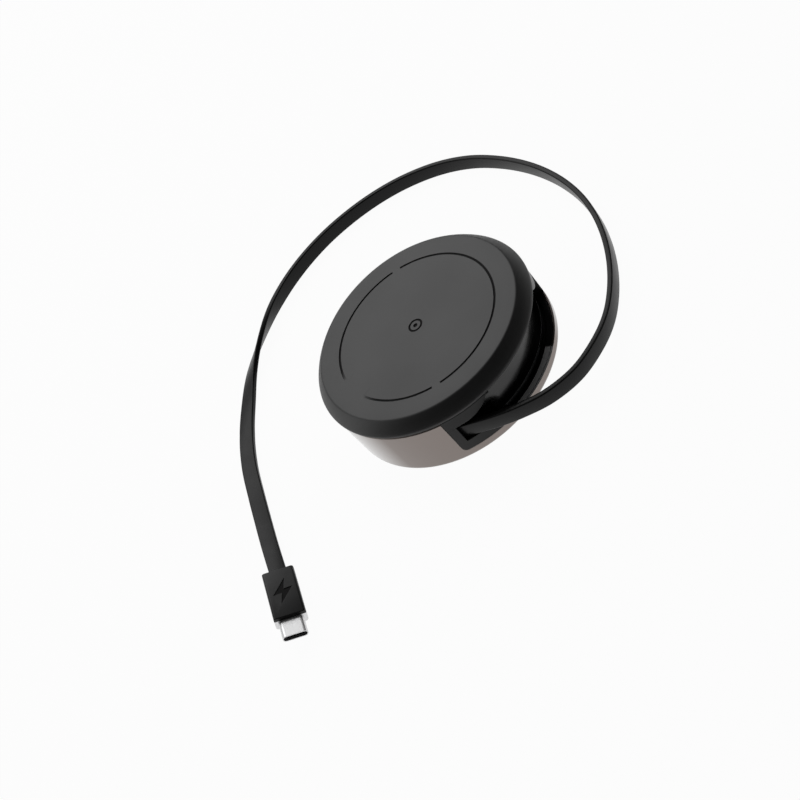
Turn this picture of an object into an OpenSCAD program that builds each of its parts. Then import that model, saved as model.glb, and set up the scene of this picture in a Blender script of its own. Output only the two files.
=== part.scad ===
// Round wireless charger with a flat cable on a spring reel. Millimetres, +Z up.
// The origin is the middle of the foot, the cable window faces -Y.

/* [Body] */
// Diameter over the top cover
cover_d = 80; // [76:0.5:90]
// Height from the table to the charging face
body_h = 25.6; // [23:0.1:30]
// Step from the cover in to the metal shell
shell_inset = 0.4; // [0.2:0.05:0.8]
// Wall of the metal shell
shell_wall = 0.9; // [0.7:0.05:1.1]
// Radius of the shell's lower edge
shell_edge = 1.6; // [0.8:0.1:2]
// Width of the shell's turned-in foot
shell_turn = 2.1; // [1.2:0.1:3]
// Open seam between the shell and the cover
seam_gap = 0.3; // [0.2:0.05:0.5]

/* [Top cover] */
// Drop of the cover's rim below the charging face
cover_rim = 5.4; // [5:0.1:5.7]
// Reach of the rounded edge, inwards
edge_reach = 3.7; // [2.5:0.1:5]
// Drop of the rounded edge
edge_drop = 4; // [2.5:0.1:4.4]
// Angle of the arc that the rounded edge takes; below 90 it leaves the face at a crease
edge_arc = 50; // [40:1:80]
// Thickness of the charging face
cover_wall = 1.6; // [1.2:0.1:1.8]
// Thickness of the cover's rim
cover_skirt = 2.1; // [1.6:0.1:2.6]
// Diameter of the engraved ring
ring_d = 57.8; // [50:0.2:64]
// Width of the engraved ring
ring_w = 0.8; // [0.4:0.1:1.5]
// Depth of the engraving
ring_depth = 0.3; // [0.1:0.05:0.5]
// Diameter of the small centre mark
mark_d = 5.2; // [3:0.1:8]

/* [Window] */
// Angle that the window takes of the shell
window_angle = 110; // [90:1:130]
// Height of the window's lower edge
sill_z = 4; // [3.8:0.1:4.4]
// Corner radius of the window
window_corner = 1.8; // [1:0.1:2.4]
// Width of the black jamb beside the opening, in degrees
jamb_angle = 4.6; // [3:0.1:6]
// Height of the upper strip at the window's ends
strip_h = 4.5; // [3.5:0.1:5]
// Angle of the level part of the upper strip
strip_angle = 11; // [6:1:16]
// Radius of the upper strip's sweep up to the deck
sweep_r = 13.4; // [8:0.2:18]
// Height of the bar that carries the cable, over the sill
bar_h = 3.9; // [3:0.1:3.9]
// Angle that the level part of the bar takes
bar_angle = 16; // [10:1:20]
// Radius of the bar's rounded end
ramp_r = 9.4; // [5:0.2:12]

/* [Chassis] */
// Thickness of the chassis floor
floor_t = 1.6; // [1.2:0.1:1.8]
// Thickness of the chassis deck under the cover
deck_t = 1.5; // [1.2:0.1:1.7]
// Radial thickness of the chassis wall
chassis_wall = 1.5; // [1:0.1:1.7]
// Gap between pieces that are fitted together
fit_gap = 0.2; // [0.1:0.05:0.25]
// Gap round whatever turns
run_gap = 0.3; // [0.25:0.05:0.4]

/* [Base] */
// Thickness of the base plate
base_t = 1.2; // [1:0.1:1.4]
// Height of the plate over the table
base_lift = 0.4; // [0.3:0.05:0.6]
// Distance of the rubber foot from the shell's outside
foot_inset = 4.6; // [4:0.1:8]
// Width of the rubber foot
foot_w = 7; // [4:0.5:9]
// Depth of the groove that holds the foot
foot_seat = 0.5; // [0.3:0.05:0.7]
// Radius of the circle of base screws
screw_pcr = 22; // [18:0.5:25]
// Number of base screws
screw_count = 3; // [3:1:6]
// Diameter of the base screws
screw_d = 2; // [1.6:0.1:2.5]
// Height of the base screws' heads
screw_head = 0.6; // [0.4:0.05:0.7]

/* [Reel] */
// Distance of the drum from the shell's outside
reel_inset = 5.7; // [5.2:0.1:7]
// Wall of the drum
drum_wall = 1.4; // [1:0.1:2]
// Height of the drum's lower edge
drum_z = 6.75; // [6.2:0.05:7.4]
// Thickness of the flange under the drum
flange_t = 1; // [0.8:0.05:1.2]
// Width of the flange outside the drum
flange_w = 2; // [1.5:0.1:2.1]
// Diameter of the fixed shaft
shaft_d = 12; // [10:0.2:14]
// Wall of the bush on the shaft
bush_t = 0.9; // [0.6:0.1:1.4]
// Wall of the hub round the bush
hub_wall = 2.4; // [1.6:0.1:3]
// Thickness of the drum's web
web_t = 1.2; // [1:0.1:1.6]
// Room between the web's underside and the deck
head_room = 5.8; // [5.6:0.1:6.2]
// Thickness of the mainspring strip
spring_t = 0.35; // [0.2:0.05:0.6]
// Turns of the mainspring
spring_turns = 6; // [4:1:8]
// Thickness of the block that clamps the cable's inner end
clamp_t = 3; // [2:0.1:4]

/* [Ratchet] */
// Number of ratchet teeth
tooth_count = 24; // [18:1:30]
// Distance of the teeth from the drum's wall
ratchet_inset = 5.5; // [5:0.1:7]
// Depth of a tooth
tooth_h = 1.6; // [1:0.1:2]
// Thickness of the ratchet ring
ratchet_t = 1.8; // [1.6:0.1:2]
// Diameter of the pawl's pin
pin_d = 2.4; // [1.6:0.1:2.6]
// Length of the pawl from its pin
pawl_reach = 8; // [6:0.2:9]

/* [Electronics] */
// Outer diameter of the charging coil
coil_d = 43; // [36:0.5:46]
// Inner diameter of the charging coil
coil_bore = 19; // [14:0.5:24]
// Turns of the charging coil
coil_turns = 11; // [8:1:12]
// Thickness of the charging coil
coil_t = 0.7; // [0.5:0.05:0.8]
// Thickness of the ferrite plate
ferrite_t = 0.4; // [0.3:0.05:0.5]
// Thickness of the coil's carrier
carrier_t = 0.6; // [0.5:0.05:0.7]
// Thickness of the circuit board
board_t = 1; // [0.8:0.1:1.2]
// Distance of the circuit board from the shell's outside
board_inset = 6.1; // [5.5:0.1:9]
// Width of the tracks that the sliding contacts run on
track_w = 1; // [0.6:0.1:1.4]

/* [Cable] */
// Width of the flat cable
ribbon_w = 5.8; // [5:0.1:6]
// Thickness of the flat cable
ribbon_t = 2; // [1.4:0.1:2.1]
// Bevel along the cable's edges
ribbon_edge = 0.5; // [0.3:0.05:0.6]

/* [Plug] */
// Width of the plug's housing
plug_w = 10.6; // [10:0.1:12.4]
// Thickness of the plug's housing with its cap
plug_t = 5.6; // [5:0.1:6.6]
// Length of the plug's housing
plug_l = 19.6; // [16:0.2:26]
// Corner radius of the plug's housing
plug_corner = 0.9; // [0.6:0.1:1.4]
// Length of the metal tip outside the housing
tip_l = 6.65; // [6:0.05:7]
// Width of the metal tip
tip_w = 8.34; // [8:0.02:8.4]
// Thickness of the metal tip
tip_t = 2.56; // [2.4:0.02:2.6]
// Wall of the metal tip
tip_wall = 0.3; // [0.2:0.05:0.4]

/* [Hidden] */

cut = 1;
sink = 0.2;
skim = 0.01;

cover_r = cover_d / 2;
shell_r = cover_r - shell_inset;
shell_in_r = shell_r - shell_wall;
ring_r = ring_d / 2;
window_mid = -90;
window_half = window_angle / 2;
window_left = window_mid - window_half;
window_right = window_mid + window_half;

// levels, from the table up and from the charging face down
floor_z = base_lift + base_t;
floor_top = floor_z + floor_t;
cover_z = body_h - cover_rim;
shell_top = cover_z - seam_gap;
deck_top = shell_top;
deck_z = deck_top - deck_t;
face_under = body_h - cover_wall;
seam_z = shell_top - strip_h;
bar_z = sill_z + bar_h;

// chassis, from the shell inwards
chassis_r = shell_in_r - fit_gap;
wall_in_r = chassis_r - chassis_wall;
flush_r = shell_r - 0.15;
base_r = shell_in_r - shell_turn - fit_gap;
foot_r = shell_r - foot_inset;

// reel
drum_r = shell_r - reel_inset;
drum_in_r = drum_r - drum_wall;
drum_top = deck_z - run_gap;
flange_z = drum_z - flange_t;
flange_r = drum_r + flange_w;
sill_in_r = flange_r + run_gap + fit_gap;
shaft_r = shaft_d / 2;
neck_r = shaft_r - 1;
bush_r = shaft_r + bush_t;
hub_r = bush_r + hub_wall;
hub_top = deck_z - 1.4;
web_z = deck_z - head_room;
web_top = web_z + web_t;
hub_z = web_z - 0.6;
clamp_in_r = drum_in_r - clamp_t;
clamp_h = web_z - drum_z - 0.25;
shaft_foot = 1;
shaft_screw_d = 1.6;
shaft_screw_r = shaft_r + 2.2;
shaft_screw_head = 0.7;
spring_z = floor_top + shaft_foot + shaft_screw_head + 0.4;
entry_at = 176;
entry_angle = 13;
entry_h = ribbon_w + 1.6;
relief_at = -133;
relief_angle = 13;
relief_h = 4.2;

// ratchet, the pawl's nose held clear of the teeth
ratchet_r = drum_in_r - ratchet_inset;
tooth_root = ratchet_r - tooth_h;
ratchet_in_r = tooth_root - 3.6;
pitch = 360 / tooth_count;
pawl_at = 90;
pawl_r = (ratchet_r + drum_in_r) / 2;
pawl_eye = pin_d / 2 + 0.95;
pawl_z = web_top + 0.8;

// stack under the charging face
board_r = shell_r - board_inset;
board_screw_r = board_r - 4;
board_screw_at = 45;
board_screw_d = 1.6;
board_z = deck_top + 0.6;
board_top = board_z + board_t;
coil_r = coil_d / 2;
coil_z = face_under - 0.1 - coil_t;
ferrite_z = coil_z - ferrite_t;
carrier_z = ferrite_z - carrier_t;
track_r = hub_r + 1.2;
track_pitch = (ratchet_in_r - 0.4 - track_r) / 4;
track_top = web_top + 1;

// Cable route: x, y, height of the lower edge, lean of the width from upright in degrees
ROUTE = [
    [-34.6, -7.4, 8.1, 0], [-32.3, -14.3, 8.1, 0], [-29.4, -21.4, 8.1, 0], [-26.5, -28.2, 8.1, 0],
    [-23.4, -35, 8, 0], [-19.3, -42, 7.8, 0], [-12.6, -49.6, 7, 0], [-2.6, -54.6, 5.2, 0],
    [9, -56, 3.4, 0], [20, -55, 1.8, 0], [31, -51.6, 0.6, 0], [42, -46.6, 0.1, 0],
    [52.5, -40, 0, 0], [62.2, -31.8, 0, 0], [70.8, -21.8, 0, 0], [78, -9.8, 0, 0],
    [83.4, 3.8, 0, 0], [86.6, 18.6, 0, 0], [87.2, 33.8, 0, 0], [84, 48.8, 0, 0],
    [76.6, 63.4, 0, 0], [65.6, 76, 0, 0], [51.6, 86, 0, 0], [36, 92, 0, 0],
    [20.4, 93.8, 0, 10], [5, 92.2, 0, 35], [-9.2, 88.8, 0, 62], [-22.4, 83.2, 0, 82],
    [-35, 76.4, 0, 90], [-46.8, 67.6, 0, 96], [-57.6, 57.4, 0, 101], [-67.4, 47.4, 0.4, 105],
    [-76, 38, 1.4, 109], [-85.1, 27.6, 2.6, 112]];
rings_per_span = 2;
plug_end = ROUTE[len(ROUTE) - 1];
plug_turn = -135;
plug_roll = plug_end[3] - 90;
cap_z = tip_t / 2 + 0.02;
cap_seam = 0.05;
plug_z = plug_end[2] + ribbon_w / 2 * abs(cos(plug_end[3])) + ribbon_t / 2 * abs(sin(plug_end[3]));

function arc_points(cx, cy, rx, ry, a0, a1, n) =
    [for (i = [0:n]) let (a = a0 + (a1 - a0) * i / n) [cx + rx * cos(a), cy + ry * sin(a)]];

function spline(a, b, c, d, t) =
    0.5 * (2 * b + (c - a) * t + (2 * a - 5 * b + 4 * c - d) * t * t
    + (3 * b - a - 3 * c + d) * t * t * t);

// A ring of rectangular section, whole or from start on
module band(r0, r1, z0, z1, start = 0, angle = 360) {
    if (angle >= 360)
        rotate_extrude() translate([r0, z0]) square([r1 - r0, z1 - z0]);
    else
        rotate_extrude(angle = angle, start = start) translate([r0, z0]) square([r1 - r0, z1 - z0]);
}

module on_circle(r, count, start = 0) {
    for (i = [0:count - 1]) rotate([0, 0, start + i * 360 / count]) translate([r, 0, 0]) children();
}

// A bar that points away from the axis, at the given angle and height
module spoke(r0, r1, z, r, at) {
    rotate([0, 0, at]) translate([r0, 0, z]) rotate([0, 90, 0]) cylinder(h = r1 - r0, r = r);
}

// The window's form in the shell, drawn in by a gap
module window_form(gap) {
    r0 = sill_in_r - cut;
    r1 = cover_r + cut;
    corner = window_corner - gap;
    half = window_half - asin(gap / shell_r);
    step = asin((corner + 0.02) / shell_r);
    top = cover_z - 0.1;
    band(r0, r1, sill_z + gap + corner, top, window_mid - half, 2 * half);
    band(r0, r1, sill_z + gap, top, window_mid - half + step, 2 * (half - step));
    for (s = [-1, 1]) spoke(r0, r1, sill_z + gap + corner, corner, window_mid + s * (half - step));
}

// Room for what stands in the window: flush outside, free inside the shell
module frame_room() {
    window_form(0.1);
    band(0, chassis_r, floor_z, deck_top);
}

// Soft-touch cap with the charging face, the engraved ring and a plain centre mark
module top_cover() {
    lip = 0.5;
    in_r = cover_r - cover_skirt;
    edge_rx = edge_reach / (1 - cos(edge_arc));
    edge_rz = edge_drop / sin(edge_arc);
    outer = concat(
        [[0, body_h]],
        arc_points(cover_r - edge_rx, body_h - edge_drop, edge_rx, edge_rz, edge_arc, 0, 10),
        [[cover_r, cover_z + lip], [cover_r - lip, cover_z]]);
    inner = [[in_r, cover_z], [in_r, face_under - 0.8], [in_r - 1.5, face_under], [0, face_under]];
    arcs = [[45, 99], [164, 55], [225, 174]];
    color([0.16, 0.16, 0.165]) difference() {
        rotate_extrude() polygon(concat(outer, inner));
        for (a = arcs)
            band(ring_r - ring_w / 2, ring_r + ring_w / 2, body_h - ring_depth, body_h + cut, a[0], a[1]);
        band(mark_d * 0.36, mark_d / 2, body_h - ring_depth, body_h + cut);
        translate([0, 0, body_h - ring_depth]) cylinder(h = ring_depth + cut, r = mark_d * 0.15);
    }
}

// The strip at one end of the window: level, then swept up to the deck
module upper_strip(side) {
    corner = window_mid + side * (window_half - strip_angle);
    level = strip_angle + 0.5;
    sweep = window_half - strip_angle - 5;
    lap = corner + side * 0.1;
    strip_in_r = sill_in_r + 0.8;
    band(strip_in_r, flush_r, seam_z, deck_top, min(corner, corner + side * level), level);
    intersection() {
        band(strip_in_r, flush_r, seam_z, deck_top, min(lap, lap - side * sweep), sweep);
        spoke(strip_in_r - cut, flush_r + cut, seam_z + sweep_r - skim, sweep_r, corner);
    }
}

// Deck under the cover: carries the board, the brushes and the pawl
module upper_chassis() {
    spigot_r = cover_r - cover_skirt - 2;
    post_r = board_screw_d / 2 + 1;
    relief = window_half - strip_angle - 16;
    color([0.09, 0.09, 0.095]) difference() {
        union() {
            band(0, chassis_r, deck_z, deck_top);
            band(spigot_r - 1, spigot_r, deck_top - sink, face_under);
            band(wall_in_r, chassis_r, seam_z, deck_z + sink, window_right, 360 - window_angle);
            intersection() {
                union() {
                    upper_strip(-1);
                    upper_strip(1);
                }
                frame_room();
            }
            on_circle(board_screw_r, 3, board_screw_at) translate([0, 0, deck_top - sink])
                cylinder(h = board_z - deck_top + sink, r = post_r);
        }
        band(sill_in_r + 0.6, cover_r, deck_z - cut, deck_top - 0.7, window_mid - relief, 2 * relief);
        translate([0, 0, deck_z - cut]) cylinder(h = deck_t + 2 * cut, r = 1.6);
        rotate([0, 0, pawl_at]) translate([pawl_r, 0, deck_z - cut])
            cylinder(h = deck_t + 2 * cut, r = pin_d / 2);
        on_circle(board_screw_r, 3, board_screw_at) translate([0, 0, deck_z - cut])
            cylinder(h = deck_t + 3 * cut, r = board_screw_d / 2);
    }
}

// Floor, cable wall and the frame of the window, with the slot that the cable leaves by
module lower_chassis() {
    bar_start = window_left + jamb_angle;
    bar_end = bar_start + bar_angle;
    boss_h = 1.2;
    low = sill_z - sink;
    color([0.1, 0.1, 0.105]) difference() {
        union() {
            band(0, chassis_r, floor_z, floor_top);
            band(sill_in_r, chassis_r, floor_top - sink, sill_z);
            band(drum_r, drum_r + 1.2, floor_top - sink, flange_z - run_gap);
            band(wall_in_r, chassis_r, low, seam_z, window_right, 360 - window_angle);
            intersection() {
                union() {
                    band(sill_in_r, flush_r, low, seam_z, window_left - 0.5, jamb_angle + 0.5);
                    band(sill_in_r, flush_r, low, seam_z, window_right - jamb_angle, jamb_angle + 0.5);
                    band(sill_in_r, flush_r, low, bar_z, bar_start - 0.01, bar_angle + 0.01);
                    intersection() {
                        band(sill_in_r, flush_r, low, bar_z, bar_end - 0.1, 14);
                        spoke(sill_in_r - cut, flush_r + cut, bar_z - ramp_r + skim, ramp_r, bar_end);
                    }
                }
                frame_room();
            }
            on_circle(screw_pcr, screw_count, 90) translate([0, 0, floor_top - sink])
                cylinder(h = boss_h + sink, r = screw_d / 2 + 1.2);
        }
        cable_way();
        on_circle(screw_pcr, screw_count, 90) translate([0, 0, floor_z - cut])
            cylinder(h = floor_t + boss_h + 2 * cut, r = screw_d / 2);
        on_circle(shaft_screw_r, 3, 30) translate([0, 0, floor_z - cut])
            cylinder(h = floor_t + 2 * cut, r = shaft_screw_d / 2);
    }
}

// Room for the cable between the drum and the slot
module cable_way() {
    a = ROUTE[1];
    b = ROUTE[4];
    run = norm([b[0] - a[0], b[1] - a[1]]);
    side = ribbon_t / 2 + 0.45;
    translate([a[0], a[1], bar_z]) rotate([0, 0, atan2(b[1] - a[1], b[0] - a[0])])
        translate([-4, -side, 0]) cube([run + 6, 2 * side, seam_z - bar_z + 0.01]);
}

// Satin metal band with a turned-in foot and the window cut out of it
module outer_shell() {
    foot_out = shell_r - 0.2 - shell_edge;
    foot_in = shell_in_r - shell_turn;
    profile = concat(
        [[foot_in, base_lift], [foot_out, base_lift]],
        arc_points(foot_out, base_lift + shell_edge, shell_edge, shell_edge, -75, 0, 5),
        [[shell_r, shell_top - 0.4], [shell_r - 0.3, shell_top], [shell_in_r, shell_top],
        [shell_in_r, floor_z], [foot_in, floor_z]]);
    color([0.56, 0.53, 0.51]) difference() {
        rotate_extrude() polygon(profile);
        window_form(0);
    }
}

module base_plate() {
    color([0.1, 0.1, 0.105]) difference() {
        band(0, base_r, base_lift, floor_z);
        band(foot_r - foot_w - 0.1, foot_r + 0.1, base_lift - cut, base_lift + foot_seat);
        on_circle(screw_pcr, screw_count, 90) translate([0, 0, base_lift - cut]) {
            cylinder(h = base_t + 2 * cut, r = screw_d / 2 + 0.15);
            cylinder(h = cut + 0.05 + screw_head, r = screw_d + 0.1);
        }
    }
}

module foot_ring() {
    top = base_lift + foot_seat;
    in_r = foot_r - foot_w;
    color([0.13, 0.13, 0.13]) rotate_extrude() polygon([
        [in_r, top], [in_r, 0.2], [in_r + 0.2, 0], [foot_r - 0.2, 0], [foot_r, 0.2], [foot_r, top]]);
}

module base_screws() {
    color([0.6, 0.6, 0.62]) on_circle(screw_pcr, screw_count, 90) translate([0, 0, base_lift + 0.05])
        difference() {
            union() {
                cylinder(h = screw_head, r = screw_d);
                cylinder(h = base_t + floor_t + 0.8, r = screw_d / 2 - 0.05);
            }
            translate([0, 0, -0.1]) cylinder(h = 0.1 + screw_head * 0.7, r = screw_d * 0.42, $fn = 6);
        }
}

module centre_screw() {
    color([0.6, 0.6, 0.62]) difference() {
        union() {
            translate([0, 0, deck_top]) cylinder(h = 1.1, r = 2.6);
            translate([0, 0, deck_top - 7]) cylinder(h = 7.5, r = 1.45);
        }
        translate([0, 0, deck_top + 0.5]) cylinder(h = 1, r = 1.2, $fn = 6);
    }
}

module shaft_screws() {
    color([0.6, 0.6, 0.62]) on_circle(shaft_screw_r, 3, 30) difference() {
        union() {
            translate([0, 0, floor_top + shaft_foot]) cylinder(h = shaft_screw_head, r = 1.3);
            translate([0, 0, floor_z + 0.1]) cylinder(h = floor_t + shaft_foot, r = shaft_screw_d / 2 - 0.05);
        }
        translate([0, 0, floor_top + shaft_foot + 0.35]) cylinder(h = 0.5, r = 0.6, $fn = 6);
    }
}

// Fixed post: foot, arbor for the mainspring, journal for the bush and a seat for the deck
module reel_shaft() {
    color([0.66, 0.66, 0.68]) difference() {
        union() {
            translate([0, 0, floor_top]) cylinder(h = shaft_foot, r = shaft_r + 3.4);
            translate([0, 0, floor_top]) cylinder(h = hub_top + run_gap - floor_top, r = shaft_r);
            translate([0, 0, floor_top]) cylinder(h = deck_z - floor_top, r = neck_r);
        }
        translate([0, 0, deck_top - 8]) cylinder(h = 10, r = 1.5);
        on_circle(shaft_screw_r, 3, 30) translate([0, 0, floor_top - cut])
            cylinder(h = shaft_foot + 2 * cut, r = shaft_screw_d / 2);
    }
}

// Washer that keeps the hub on the shaft
module reel_retainer() {
    color([0.7, 0.7, 0.72])
        band(neck_r + 0.05, hub_r - 0.4, hub_top + run_gap, hub_top + run_gap + 0.6);
}

module reel_bush() {
    color([0.78, 0.63, 0.34]) band(shaft_r + 0.05, bush_r, hub_z, hub_top - 0.1);
}

// Drum with its web and hub, cut through where the cable is made fast and low down in the window
module reel_drum() {
    color([0.06, 0.06, 0.065]) difference() {
        union() {
            band(drum_in_r, drum_r, drum_z, drum_top);
            band(bush_r + 0.03, drum_in_r + sink, web_z, web_top);
            band(bush_r + 0.03, hub_r, hub_z, hub_top);
        }
        band(drum_in_r - 0.6, drum_r + cut, drum_z - cut, drum_z + entry_h, entry_at, entry_angle);
        band(drum_in_r - 0.6, drum_r + cut, drum_z - cut, drum_z + relief_h, relief_at, relief_angle);
    }
}

module reel_flange() {
    color([0.06, 0.06, 0.065]) band(drum_in_r - 2, flange_r, flange_z, drum_z);
}

// Block behind the entry that holds the cable's inner end
module cable_clamp() {
    color([0.16, 0.16, 0.17]) difference() {
        band(clamp_in_r, drum_in_r - 0.15, drum_z, drum_z + clamp_h, entry_at - 2, entry_angle + 4);
        spoke(clamp_in_r - cut, clamp_in_r + clamp_t * 0.7, drum_z + clamp_h / 2, 0.9,
            entry_at + entry_angle / 2);
    }
}

// Spiral strip from the arbor to the inside of the drum
module mainspring() {
    r0 = shaft_r + 0.3;
    r1 = clamp_in_r - 0.4 - spring_t;
    per_turn = 20;
    n = spring_turns * per_turn;
    line = [for (i = [0:n]) [r0 + (r1 - r0) * i / n, 360 * i / per_turn]];
    inside = [for (p = line) p[0] * [cos(p[1]), sin(p[1])]];
    outside = [for (i = [n:-1:0]) (line[i][0] + spring_t) * [cos(line[i][1]), sin(line[i][1])]];
    color([0.45, 0.47, 0.5]) translate([0, 0, spring_z]) linear_extrude(hub_z - run_gap - spring_z)
        polygon(concat(inside, outside));
}

// Saw-toothed ring on top of the web; the steep faces stop it running back
module ratchet_ring() {
    color([0.62, 0.63, 0.65]) translate([0, 0, web_top]) difference() {
        linear_extrude(ratchet_t) polygon([for (i = [0:tooth_count - 1])
            each let (a = pawl_at + pitch * i) [
                tooth_root * [cos(a - pitch * 0.22), sin(a - pitch * 0.22)],
                tooth_root * [cos(a + pitch * 0.3), sin(a + pitch * 0.3)],
                ratchet_r * [cos(a + pitch * 0.34), sin(a + pitch * 0.34)]]]);
        translate([0, 0, -cut]) cylinder(h = ratchet_t + 2 * cut, r = ratchet_in_r);
    }
}

// Pawl, drawn lifted clear of the teeth; it swings in on its pin
module ratchet_pawl() {
    color([0.62, 0.63, 0.65]) rotate([0, 0, pawl_at]) translate([pawl_r, 0, pawl_z])
        linear_extrude(web_top + ratchet_t - pawl_z) difference() {
            union() {
                circle(r = pawl_eye);
                polygon([[-0.6, pawl_eye - 0.2], [1, pawl_eye - 0.6], [-0.3, pawl_reach + 1.2],
                    [-2.15, pawl_reach + 1.4], [-2.15, pawl_reach + 0.7], [-1.5, pawl_reach]]);
            }
            circle(r = pin_d / 2 + 0.05);
        }
}

// Pin with a head below the pawl and a collar above it, pressed into the deck
module pawl_pin() {
    color([0.7, 0.7, 0.72]) rotate([0, 0, pawl_at]) translate([pawl_r, 0, web_top + run_gap]) {
        cylinder(h = deck_top - 0.2 - web_top - run_gap, r = pin_d / 2 - 0.02);
        cylinder(h = 0.4, r = pin_d / 2 + 0.7);
        translate([0, 0, ratchet_t]) cylinder(h = 0.5, r = pin_d / 2 + 0.7);
    }
}

// Leaf under the deck that bears on the pawl's back
module pawl_spring() {
    color([0.7, 0.7, 0.72])
        band(pawl_r + 1.5, pawl_r + 1.75, web_top + 0.6, deck_z, pawl_at + 5.5, 13);
}

module contact_disc() {
    color([0.08, 0.28, 0.16]) band(hub_r + 0.4, ratchet_in_r - 0.4, web_top, track_top - 0.2);
}

module contact_rings() {
    color([0.83, 0.62, 0.28]) for (i = [0:3])
        band(track_r + track_pitch * i, track_r + track_w + track_pitch * i, track_top - 0.2, track_top);
}

// Block under the deck that holds the sliding contacts
module brush_block() {
    color([0.14, 0.14, 0.15]) rotate([0, 0, 200])
        translate([track_r - 0.4, -3.4, track_top + 1.2])
            cube([3 * track_pitch + track_w + 0.8, 6.8, deck_z - track_top - 1.2]);
}

module brush_springs() {
    root = track_top + 1.2;
    tip = track_top + 0.2;
    color([0.83, 0.62, 0.28]) rotate([0, 0, 200]) for (i = [0:3])
        translate([track_r + track_w / 2 + track_pitch * i, 0, 0]) rotate([90, 0, 90])
            translate([0, 0, -track_w * 0.3]) linear_extrude(track_w * 0.6) polygon([
                [-2.6, root], [-2.6, root - 0.3], [1.6, tip], [2.6, tip + 0.4], [2.6, tip + 0.6],
                [1.6, tip + 0.25], [-2.2, root - 0.1], [-2.2, root]]);
}

module circuit_board() {
    color([0.07, 0.3, 0.17]) difference() {
        band(4, board_r, board_z, board_top);
        on_circle(board_screw_r, 3, board_screw_at) translate([0, 0, board_z - cut])
            cylinder(h = board_t + 2 * cut, r = board_screw_d / 2 + 0.15);
    }
}

// Chips, inductors and capacitors round the rim of the board: angle, length, width, height
module board_components() {
    mid_r = board_r - 4.8;
    chips = [[-90, 5, 7, 0.9], [-60, 3.2, 3.2, 1.4], [-118, 4, 4, 0.8], [0, 3.4, 5.4, 1.3],
        [-28, 2.2, 3.6, 1], [60, 4, 4, 0.8], [90, 5, 8.4, 1.5], [120, 3, 3, 1], [180, 4, 6, 0.9],
        [208, 2, 3.4, 1]];
    color([0.12, 0.12, 0.13]) for (c = chips)
        rotate([0, 0, c[0]]) translate([mid_r - c[1] / 2, -c[2] / 2, board_top]) cube([c[1], c[2], c[3]]);
}

module board_screws() {
    head = 0.7;
    color([0.6, 0.6, 0.62]) on_circle(board_screw_r, 3, board_screw_at) {
        translate([0, 0, board_top]) cylinder(h = head, r = board_screw_d / 2 + 0.7);
        translate([0, 0, deck_z + 0.4]) cylinder(h = board_top - deck_z, r = board_screw_d / 2 - 0.05);
    }
}

module coil_carrier() {
    color([0.75, 0.75, 0.73]) {
        translate([0, 0, carrier_z]) cylinder(h = carrier_t, r = coil_r + 1);
        on_circle(coil_r - 2, 3, 90) translate([0, 0, board_top])
            cylinder(h = carrier_z - board_top + 0.1, r = 1.4);
    }
}

module ferrite_plate() {
    color([0.2, 0.2, 0.22]) translate([0, 0, ferrite_z]) cylinder(h = ferrite_t, r = coil_r + 0.5);
}

// Flat coil: the turns are ridges on one thin ring
module charging_coil() {
    turn = (coil_r - coil_bore / 2) / coil_turns;
    color([0.78, 0.45, 0.2]) difference() {
        band(coil_bore / 2, coil_r, coil_z, coil_z + coil_t);
        for (i = [1:coil_turns - 1])
            band(coil_bore / 2 + i * turn - 0.1, coil_bore / 2 + i * turn + 0.1,
                coil_z + coil_t * 0.4, coil_z + coil_t + cut);
    }
}

// Places along the cable, with the height of the centre worked out from the lean
function route_at(i, t) = spline(ROUTE[max(i - 1, 0)], ROUTE[i], ROUTE[i + 1],
    ROUTE[min(i + 2, len(ROUTE) - 1)], t);
function centre_of(p) = [p[0], p[1],
    max(p[2], 0) + ribbon_w / 2 * abs(cos(p[3])) + ribbon_t / 2 * abs(sin(p[3]))];

module ribbon_cable() {
    spans = len(ROUTE) - 1;
    line = [for (i = [0:spans - 1], k = [0:rings_per_span - 1]) route_at(i, k / rings_per_span),
        ROUTE[spans]];
    c = [for (p = line) centre_of(p)];
    last = len(c) - 1;
    w = ribbon_w / 2;
    h = ribbon_t / 2;
    e = ribbon_edge;
    section = [[w, h - e], [w - e, h], [e - w, h], [-w, h - e], [-w, e - h], [e - w, -h], [w - e, -h],
        [w, e - h]];
    points = [for (i = [0:last], s = section)
        let (ahead = c[min(i + 1, last)] - c[max(i - 1, 0)],
            along = ahead / norm(ahead),
            side = [-along[1], along[0], 0] / norm([along[0], along[1]]),
            up = cross(along, side),
            lean = line[i][3],
            u = up * cos(lean) + side * sin(lean),
            v = cross(along, u))
        c[i] + u * s[0] + v * s[1]];
    n = len(section);
    color([0.12, 0.12, 0.125]) polyhedron(points, concat(
        [[for (k = [0:n - 1]) k]],
        [for (i = [0:last - 1], k = [0:n - 1])
            [i * n + k, (i + 1) * n + k, (i + 1) * n + (k + 1) % n, i * n + (k + 1) % n]],
        [[for (k = [n - 1:-1:0]) last * n + k]]), convexity = 10);
}

// Stands a plug piece at the cable's end, rolled with it; its axis is +X before the turn
module at_plug() {
    translate([plug_end[0], plug_end[1], plug_z]) rotate([0, 0, plug_turn])
        rotate([-plug_roll, 0, 0]) children();
}

// A plate on edge across the plug's axis, from z0 to z1, with its outer corners rounded
module slab(x, inset, z0, z1, corner, t = 0.1) {
    half = plug_w / 2 - inset;
    translate([x, 0, 0]) rotate([90, 0, 90]) linear_extrude(t) intersection() {
        union() {
            translate([corner - half, z0]) square([2 * (half - corner), z1 - z0]);
            translate([-half, z0]) square([2 * half, z1 - corner - z0]);
            for (s = [-1, 1]) translate([s * (half - corner), z1 - corner]) circle(r = corner, $fn = 24);
        }
        translate([-half, z0]) square([2 * half, z1 - z0]);
    }
}

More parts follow.
